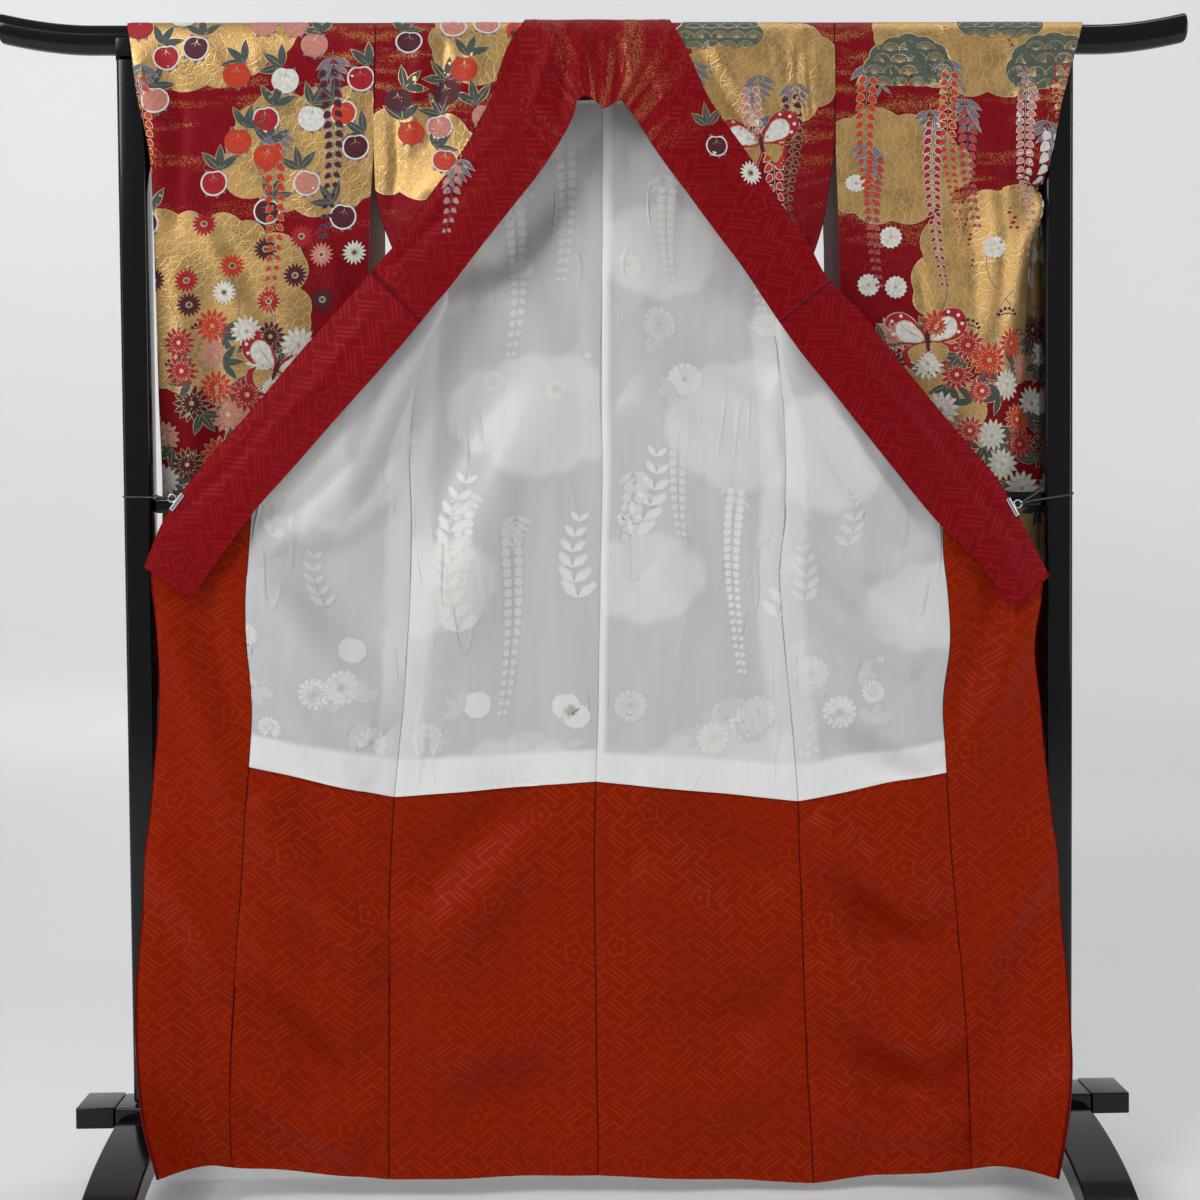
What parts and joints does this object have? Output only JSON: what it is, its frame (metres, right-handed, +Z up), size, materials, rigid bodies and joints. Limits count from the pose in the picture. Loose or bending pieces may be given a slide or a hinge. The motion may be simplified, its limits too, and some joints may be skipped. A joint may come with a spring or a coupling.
{
  "type": "furisode on kimono stand",
  "caption": "Long-sleeved kimono hung open on a black lacquered stand, its white upper lining and vermilion lower lining showing.",
  "frame": {"origin": "centre of the stand's footprint on the floor", "axes": "+Z up, +X to the viewer's right along the bar, +Y away from the viewer"},
  "size_m": [1.64, 0.63, 1.6355],
  "materials": {
    "lacquer": "black gloss lacquer",
    "printed_silk": "printed silk satin with gold decoration",
    "collar_silk": "red silk with a woven key-fret figure",
    "white_silk": "thin plain white silk",
    "vermilion_silk": "vermilion silk with a woven key-fret figure",
    "chrome": "polished",
    "elastic": "matte"
  },
  "bodies": {
    "root": {"bar": "lacquer", "post_left": "lacquer", "post_right": "lacquer", "middle_rail": "lacquer", "shelf": "lacquer", "shelf_cap_left": "lacquer", "shelf_cap_right": "lacquer", "foot_left_front": "lacquer", "foot_left_back": "lacquer", "foot_right_front": "lacquer", "foot_right_back": "lacquer", "back_left": "printed_silk", "front_left": "printed_silk", "okumi_left": "printed_silk", "sleeve_left_front": "printed_silk", "sleeve_left_back": "printed_silk", "lining_back_left": "white_silk", "lining_front_left": "white_silk", "sleeve_lining_left": "white_silk", "hakkake_back_left": "vermilion_silk", "hakkake_front_left": "vermilion_silk", "hakkake_okumi_left": "vermilion_silk", "collar_left": "collar_silk", "clip_left": "chrome", "tie_left": "elastic", "back_right": "printed_silk", "front_right": "printed_silk", "okumi_right": "printed_silk", "sleeve_right_front": "printed_silk", "sleeve_right_back": "printed_silk", "lining_back_right": "white_silk", "lining_front_right": "white_silk", "sleeve_lining_right": "white_silk", "hakkake_back_right": "vermilion_silk", "hakkake_front_right": "vermilion_silk", "hakkake_okumi_right": "vermilion_silk", "collar_right": "collar_silk", "clip_right": "chrome", "tie_right": "elastic", "over_collar": "collar_silk"}
  },
  "joints": []
}
